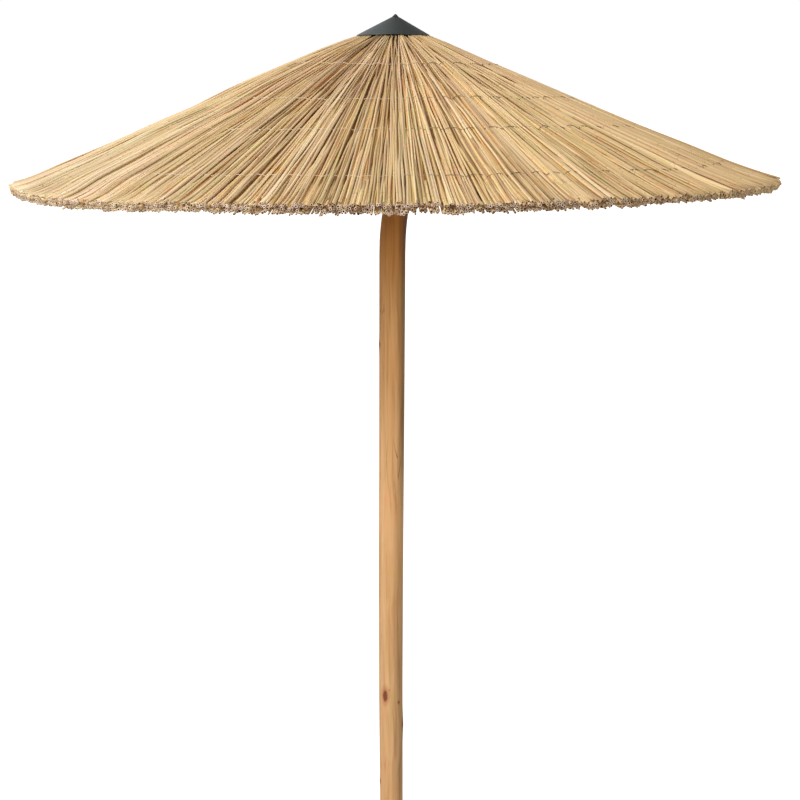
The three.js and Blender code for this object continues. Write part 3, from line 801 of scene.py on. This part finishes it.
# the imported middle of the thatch, which keeps light out
N = 160
a = np.arange(N) * 2 * math.pi / N
up_r, dn_r = np.linspace(0.070, 0.955, 22), np.linspace(0.948, 0.070, 22)
lay = [np.stack([r * np.cos(a), r * np.sin(a), np.maximum(skin_z(r, a) - 0.0115, under_z(r, a) + 0.0085)], -1) for r in up_r]
lay += [np.stack([r * np.cos(a), r * np.sin(a), under_z(r, a) + 0.0070], -1) for r in dn_r]
V = np.stack(lay)
M = len(V)
j = np.arange(N)
jn = (j + 1) % N
F = np.concatenate([np.stack([i * N + j, i * N + jn, ((i + 1) % M) * N + jn, ((i + 1) % M) * N + j], -1) for i in range(M)])
core = object_from("thatch_core", V, [(F[:, ::-1], 0)], [CORE])
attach(core, "canopy")
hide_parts("thatch_quarter_a", "thatch_quarter_b", "thatch_quarter_c", "thatch_quarter_d")


# ---- rings, wires -----------------------------------------------------------------------------------------------------
def ring_tube(name, points, radius, k, mats, ups=None):
    """A closed tube through points (n, 3)."""
    n = len(points)
    t = np.roll(points, -1, 0) - np.roll(points, 1, 0)
    t /= np.linalg.norm(t, axis=1, keepdims=True)
    up = np.tile([0.0, 0, 1], (n, 1)) if ups is None else ups
    s = np.cross(t, up)
    s /= np.linalg.norm(s, axis=1, keepdims=True)
    u = np.cross(s, t)
    a = 2 * math.pi * np.arange(k) / k
    rad = np.broadcast_to(np.asarray(radius, float), (n,))
    V = points[:, None] + (s[:, None] * np.cos(a)[None, :, None] + u[:, None] * np.sin(a)[None, :, None]) * rad[:, None, None]
    i = np.arange(n)[:, None]
    j = np.arange(k)
    jn = (j + 1) % k
    inn = (i + 1) % n
    F = np.stack([i * k + j, inn * k + j, inn * k + jn, i * k + jn], -1).reshape(-1, 4)
    return object_from(name, V, [(F, 0)], mats)


for key, r in (("inner", 0.280), ("middle", 0.635), ("outer", 0.865)):
    lo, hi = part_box("hoop_" + key)
    zc = (lo.z + hi.z) / 2
    a = np.arange(192) * 2 * math.pi / 192
    pts = np.stack([r * np.cos(a), r * np.sin(a), np.full_like(a, zc)], -1)
    ob = ring_tube("hoop_%s_rod" % key, pts, 0.0040, 12, [HOOP])
    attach(ob, "canopy")
    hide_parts("hoop_" + key)

for w, r in enumerate((0.280, 0.475, 0.635, 0.865)):
    count = 3600
    a = np.arange(count) * 2 * math.pi / count
    # the wire goes over one bundle of some 40 mm at a time and dips between two
    bundles = int(round(2 * math.pi * r / 0.046))
    phase = a * bundles / (2 * math.pi) + 0.18 * np.sin(5 * a + w) + 0.12 * np.sin(11 * a + 2 * w)
    u = 2 * np.mod(phase, 1.0) - 1
    right = smooth(np.cos(a), -0.25, 0.75)
    scallop = (1 - u ** 2) * (0.0022 + 0.0105 * right)
    shift = 0.003 * np.sin(3 * a + w) + 0.002 * np.sin(7 * a + 2 * w) + 0.0010 * np.sin(19 * a + w)
    rr = r - scallop + shift
    bundle = np.floor(phase).astype(int) % bundles
    sunk = rng.uniform(0.0, 0.0024, bundles)[bundle] + 0.0006 * (1 - right)
    lean = rng.uniform(-0.5, 0.5, bundles)[bundle]
    h = 0.0010 - sunk * (1 - u ** 2) + 0.0008 * lean * u * (1 - u ** 2) - 0.0044 * np.abs(u) ** 2.5 + 0.0003 * np.sin(61 * a + w)
    pts = np.stack([(rr + h * SN) * np.cos(a), (rr + h * SN) * np.sin(a), skin_z(rr, a) + h * CN], -1)
    ob = ring_tube("binding_wire_%d_drawn" % (w + 1), pts, 0.00080, 5, [WIRE])
    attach(ob, "canopy")
    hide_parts("binding_wire_%d" % (w + 1))

# ---- the pole ---------------------------------------------------------------------------------------------------------
KNOTS = [  # azimuth in degrees, height, half width, half height, bulge
    (-119, 0.654, 0.0115, 0.027, 0.0012), (-49, 0.634, 0.0042, 0.0058, 0.0006), (-98, 0.672, 0.0022, 0.0030, 0.0002),
    (-12, 0.566, 0.0090, 0.018, 0.0022), (70, 0.83, 0.008, 0.014, 0.0012), (150, 1.12, 0.009, 0.018, 0.0014),
    (30, 1.46, 0.006, 0.011, 0.0010), (200, 1.63, 0.007, 0.013, 0.0010), (110, 0.33, 0.008, 0.016, 0.0012),
    (-165, 0.40, 0.006, 0.010, 0.0008), (80, 1.86, 0.006, 0.011, 0.0008), (-70, 0.20, 0.007, 0.013, 0.0010),
]
rings = np.concatenate([np.linspace(0.003, 1.985, 520), np.linspace(1.995, 2.397, 45)])
BOW_Z = np.array([0, 0.15, 0.33, 0.66, 0.98, 1.30, 1.62, 1.80, 1.87, 1.912, 1.944, 1.970, 1.990, 2.40])
BOW_X = np.array([0, -7, -12.5, -13.2, -12.4, -11.4, -10.4, -9.5, -8.9, -7.7, -5.3, -2.2, 0, 0]) / 1000.0
fine_z = np.linspace(0, 2.4, 1201)
fine_x = np.interp(fine_z, BOW_Z, BOW_X)
kernel = np.hanning(61)
kernel /= kernel.sum()
soft_x = np.convolve(np.pad(fine_x, 30, mode="edge"), kernel, mode="valid")
short = np.hanning(17)
short /= short.sum()
near_x = np.convolve(np.pad(fine_x, 8, mode="edge"), short, mode="valid")
near = smooth(fine_z, 1.76, 1.86)
soft_x = (soft_x * (1 - near) + near_x * near) * smooth(fine_z, 0.0, 0.05)

N = 72
a = np.arange(N) * 2 * math.pi / N
zz, aa = np.meshgrid(rings, a, indexing="ij")
base_r = np.where(zz < 1.990, 0.030 + 0.005 * zz / 1.990, 0.035)
free = smooth(zz, 1.98, 1.80)
surf = base_r + 0.0002 * smooth(zz, 1.98, 1.90) - 0.0003 * smooth(zz, 1.90, 1.98)
surf = surf + free * (0.0007 * np.sin(2 * aa + 1.3 * zz + 0.6) + 0.0004 * np.sin(3 * aa - 2.1 * zz) + 0.0004 * np.sin(5 * zz + aa * 1.0))
for ph, fr, am in ((0.3, 7, 0.00022), (1.9, 11, 0.00016), (4.0, 17, 0.00010)):
    surf = surf + free * am * np.sin(fr * aa + ph + 1.5 * np.sin(1.1 * zz + ph))
knot_near = np.zeros_like(zz)
for az, kz, hw, hh, bulge in KNOTS:
    az = math.radians(az)
    du = np.angle(np.exp(1j * (aa - az))) * base_r / hw
    dv = (zz - kz) / hh
    d = np.sqrt(du ** 2 + dv ** 2)
    knot_near = np.maximum(knot_near, np.exp(-(d ** 2) * 0.9))
    surf = surf + free * bulge * np.exp(-(d / 1.8) ** 2) - free * 0.0006 * np.exp(-(d / 0.55) ** 2)
ease = np.minimum(1, (zz - 0.0) / 0.006)
surf = surf - 0.0012 * (1 - ease) ** 2
bow = np.interp(zz, fine_z, soft_x)
X = surf * np.cos(aa) + bow
Y = surf * np.sin(aa)
V = np.stack([X, Y, zz], -1)
n_r = len(rings)
i = np.arange(n_r - 1)[:, None]
j = np.arange(N)
jn = (j + 1) % N
F = np.stack([i * N + j, i * N + jn, (i + 1) * N + jn, (i + 1) * N + j], -1).reshape(-1, 4)
verts = [V.reshape(-1, 3)]
uvp = [np.stack([np.cos(aa), knot_near, zz], -1).reshape(-1, 3)]
# sawn ends with a small chamfer, as rings of their own
groups = [(F, 0)]
count = n_r * N
for end, z_end, flip in ((0, 0.0, True), (n_r - 1, 2.400, False)):
    prev = end * N
    for s, zr in ((0.945, z_end), (0.62, z_end), (0.30, z_end)):
        ringv = np.stack([(V[end, :, 0] - bow[end, 0]) * s + bow[end, 0], V[end, :, 1] * s, np.full(N, zr)], -1)
        verts.append(ringv)
        uvp.append(np.zeros((N, 3)))
        q = np.stack([prev + j, prev + jn, count + jn, count + j], -1)
        groups.append((q[:, ::-1] if flip else q, 0 if s == 0.945 else 1, True))
        prev = count
        count += N
    poly = (prev + j)[None]
    groups.append((poly[:, ::-1] if flip else poly, 1, True))
pole = object_from("pole_log", np.concatenate(verts), groups, [POLE_MAT, END_GRAIN], {"pole_uv": ("FLOAT_VECTOR", np.concatenate(uvp))})
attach(pole, "pole")
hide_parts("pole")

# ---- the cap ------------------------------------------------------------------------------------------------------------
CAP_R, CAP_Z, TOP_R, TOP_Z = 0.0955, 2.4462, 0.0070, 2.4938
N = 256
a = np.arange(N) * 2 * math.pi / N
seam = math.radians(38)
d_seam = np.angle(np.exp(1j * (a - seam)))


def cap_ring(r, z, thick_under=0.0):
    rr = np.full(N, r)
    zz = np.full(N, z)
    # the lapped seam: one edge of the sheet lies over the other
    lap = 0.0011 * smooth(d_seam * r, -0.0012, 0.0) * smooth(d_seam * r, 0.020, 0.0)
    wave = (0.0007 * np.sin(3 * a + 0.4) + 0.0005 * np.sin(7 * a)) * (r / CAP_R) ** 2
    # the cone sits a little off the stud's axis
    lean = -0.0062 * (TOP_Z - z) / (TOP_Z - CAP_Z)
    return np.stack([rr * np.cos(a) + lean, rr * np.sin(a), zz + lap * (1 if not thick_under else 0) + wave - thick_under], -1)


t = np.linspace(0, 1, 15)
prof = [(0.0037, TOP_Z), (0.0060, TOP_Z), (TOP_R, TOP_Z - 0.0001)]
for s in t[1:-1]:
    prof.append((TOP_R + (CAP_R - TOP_R) * s, TOP_Z + (CAP_Z - TOP_Z) * s))
prof += [(CAP_R - 0.0010, CAP_Z + 0.00055), (CAP_R - 0.0002, CAP_Z - 0.0001), (CAP_R, CAP_Z - 0.0008)]
top_count = len(prof)
verts = [cap_ring(r, z) for r, z in prof]
# hemmed edge: the sheet is turned back under
under_prof = [(CAP_R - 0.0004, CAP_Z - 0.0016), (CAP_R - 0.0014, CAP_Z - 0.0019), (CAP_R - 0.0070, CAP_Z + 0.0012), (CAP_R - 0.0078, CAP_Z + 0.0020)]
for s in np.linspace(0.90, 0.02, 8):
    under_prof.append((TOP_R + (CAP_R - TOP_R) * s, TOP_Z + (CAP_Z - TOP_Z) * s - 0.0014))
under_prof.append((0.0037, TOP_Z - 0.0014))
for r, z in under_prof:
    verts.append(cap_ring(r, z, 1e-9))
V = np.stack(verts)
M = len(V)
j = np.arange(N)
jn = (j + 1) % N
F = np.concatenate([np.stack([i * N + j, ((i + 1) % M) * N + j, ((i + 1) % M) * N + jn, i * N + jn], -1) for i in range(M)])
cap = object_from("cap_cone", V, [(F, 0)], [CAPM])
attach(cap, "canopy")
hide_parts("cap")


# ---- turned and hexagonal hardware ---------------------------------------------------------------------------------------
def lathe(name, prof, N, mats, sharp=False):
    prof = np.asarray(prof, float)
    a = np.arange(N) * 2 * math.pi / N
    inner = prof[(prof[:, 0] > 1e-9)]
    V = np.stack([inner[:, 0][:, None] * np.cos(a), inner[:, 0][:, None] * np.sin(a), np.repeat(inner[:, 1][:, None], N, 1)], -1)
    M = len(inner)
    j = np.arange(N)
    jn = (j + 1) % N
    F = np.concatenate([np.stack([i * N + j, i * N + jn, (i + 1) * N + jn, (i + 1) * N + j], -1) for i in range(M - 1)])
    caps = [(j[::-1])[None], ((M - 1) * N + j)[None]]
    return object_from(name, V, [(F, 0, sharp), (caps[0], 0, True), (caps[1], 0, True)], mats)


def hexagon(flats, z0, z1, bore=0.0, chamfer=0.06):
    """A plain hexagonal prism for a nut or head, as bmesh."""
    bm = bmesh.new()
    R = flats / math.sqrt(3)
    bmesh.ops.create_cone(bm, cap_ends=True, segments=6, radius1=R, radius2=R, depth=z1 - z0, matrix=Matrix.Translation((0, 0, (z0 + z1) / 2)))
    return bm


def thread_profile(r, z0, z1, pitch, depth):
    out = []
    z = z0
    while z < z1 - 1e-9:
        out.append((r, z))
        out.append((r - depth, z + pitch / 2))
        z += pitch
    out.append((r, z1))
    return out


stud = lathe("cap_stud_threaded", [(0.0029, 2.4050)] + [(0.0029, 2.4400)] + thread_profile(0.0029, 2.4420, 2.4985, 0.001, 0.0004) + [(0.0019, 2.4998)], 20, [CAP_HW])
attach(stud, "canopy")
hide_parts("cap_stud")


def hex_nut(name, flats, z0, z1, bore, flange_r, mats):
    """A flanged hexagonal nut, its corners rounded off by a cone."""
    N = 96
    a = np.arange(N) * 2 * math.pi / N
    apothem = flats / 2
    seg = np.mod(a + math.pi / 6, math.pi / 3) - math.pi / 6
    hexr = apothem / np.cos(seg)
    rings = []
    H = z1 - z0
    fl = 0.0012
    rings.append((np.full(N, bore), z0))
    rings.append((np.full(N, flange_r), z0))
    rings.append((np.full(N, flange_r), z0 + fl * 0.6))
    rings.append((np.full(N, flange_r * 0.86), z0 + fl))
    rings.append((np.minimum(hexr, flange_r * 0.80), z0 + fl * 1.25))
    rings.append((hexr, z0 + fl * 1.5))
    rings.append((hexr, z1 - 0.0009))
    rings.append((np.minimum(hexr, apothem * 1.07), z1 - 0.0003))
    rings.append((np.minimum(hexr, apothem * 0.98), z1))
    rings.append((np.full(N, bore * 1.15), z1))
    rings.append((np.full(N, bore), z1 - 0.0004))
    V = np.stack([np.stack([r * np.cos(a), r * np.sin(a), np.full(N, z)], -1) for r, z in rings])
    M = len(V)
    j = np.arange(N)
    jn = (j + 1) % N
    F = np.concatenate([np.stack([i * N + j, i * N + jn, ((i + 1) % M) * N + jn, ((i + 1) % M) * N + j], -1) for i in range(M)])
    return object_from(name, V, [(F, 0, True)], mats)


lo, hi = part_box("cap_nut")
nut = hex_nut("cap_nut_flanged", 0.0100, lo.z, hi.z, 0.0034, 0.0080, [CAP_HW])
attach(nut, "canopy")
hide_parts("cap_nut")


# ---- carried-over CAD nodes, as bevelled copies ----------------------------------------------------------------------------
def refined(node, name, mats, body, bevel=0.0010, segments=2, angle=28):
    src = nodes[node]
    me = src.data.copy()
    me.name = name
    bm = bmesh.new()
    bm.from_mesh(me)
    bmesh.ops.remove_doubles(bm, verts=bm.verts, dist=1e-6)
    bmesh.ops.dissolve_limit(bm, angle_limit=math.radians(1.0), verts=bm.verts, edges=bm.edges)
    bmesh.ops.recalc_face_normals(bm, faces=bm.faces)
    sharp = [e for e in bm.edges if len(e.link_faces) == 2 and e.calc_face_angle(0) > math.radians(angle)]
    if bevel:
        bmesh.ops.bevel(bm, geom=sharp, offset=bevel, segments=segments, profile=0.5, affect="EDGES", clamp_overlap=True)
    bm.to_mesh(me)
    bm.free()
    me.materials.clear()
    for m in mats:
        me.materials.append(m)
    for p in me.polygons:
        p.use_smooth = True
        p.material_index = 0
    me.set_sharp_from_angle(angle=math.radians(32))
    ob = bpy.data.objects.new(name, me)
    scene.collection.objects.link(ob)
    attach(ob, body)
    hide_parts(node)
    return ob


for i in range(8):
    az = math.pi / 8 + i * math.pi / 4
    rib_m = batten_material("rib_pine_%d" % (i + 1), az, 0.96)
    strut_m = batten_material("strut_pine_%d" % (i + 1), az, 1.0)
    refined("rib_%d" % (i + 1), "rib_%d_batten" % (i + 1), [rib_m], "canopy", 0.0016)
    refined("strut_%d" % (i + 1), "strut_%d_batten" % (i + 1), [strut_m], "canopy", 0.0014)

for n, ob in nodes.items():
    if n.startswith(("rib_bolt", "strut_bolt", "collar_bolt")):
        m = BOLT
    elif n in ("hub_socket", "strut_collar", "wing_screw"):
        m = ZINC
    elif n in ("hub_liner", "clamp_pad"):
        m = NYLON
    else:
        continue
    ob.data.materials.clear()
    ob.data.materials.append(m)

# ---- floor, light ------------------------------------------------------------------------------------------------------------
bpy.ops.mesh.primitive_plane_add(size=1600, location=(0, 0, -0.0005))
floor = bpy.context.object
floor.name = "floor"
fm = Nodes("floor_pale")
fm.set(Base_Color=(0.88, 0.88, 0.88), Roughness=0.9)
fm.p.inputs["Specular IOR Level"].default_value = 0.0
fm.p.inputs["Emission Color"].default_value = (1, 1, 1, 1)
# The pale floor is lit up to the backdrop's white where it is seen directly.
seen = fm.add("LightPath").outputs["Is Camera Ray"]
fm.put(fm.p.inputs["Emission Strength"], fm.math("MULTIPLY", seen, 0.47))
floor.data.materials.append(fm.mat)

world = bpy.data.worlds.new("world")
scene.world = world
world.use_nodes = True
wt = world.node_tree
bg = wt.nodes["Background"]
bg.inputs[0].default_value = (1.0, 1.0, 1.0, 1)
lp = wt.nodes.new("ShaderNodeLightPath")
mx = wt.nodes.new("ShaderNodeMapRange")
gt = wt.nodes.new("ShaderNodeTexCoord")
gx = wt.nodes.new("ShaderNodeSeparateXYZ")
gm = wt.nodes.new("ShaderNodeMapRange")
wt.links.new(gt.outputs["Generated"], gx.inputs[0])
wt.links.new(gx.outputs[0], gm.inputs[0])
gm.inputs[1].default_value, gm.inputs[2].default_value = -1.0, 1.0
gm.inputs[3].default_value, gm.inputs[4].default_value = 0.88, 0.30
wt.links.new(gm.outputs[0], mx.inputs[3])  # what lights the scene, from the brighter left to the darker right
mx.inputs[4].default_value = 1.02  # what is seen behind it
wt.links.new(lp.outputs["Is Camera Ray"], mx.inputs[0])
wt.links.new(mx.outputs[0], bg.inputs[1])

sun = bpy.data.lights.new("key", "SUN")
sun.energy = 1.95
sun.angle = math.radians(26)
sun.color = (1.0, 0.985, 0.955)
key = bpy.data.objects.new("key", sun)
scene.collection.objects.link(key)
az, el = math.radians(-140), math.radians(40)
direction = Vector((math.cos(az) * math.cos(el), math.sin(az) * math.cos(el), math.sin(el)))
key.rotation_euler = direction.to_track_quat("Z", "Y").to_euler()

scene.view_settings.view_transform = "Standard"
scene.view_settings.look = "None"
scene.view_settings.exposure = 0.0
scene.view_settings.gamma = 1.0
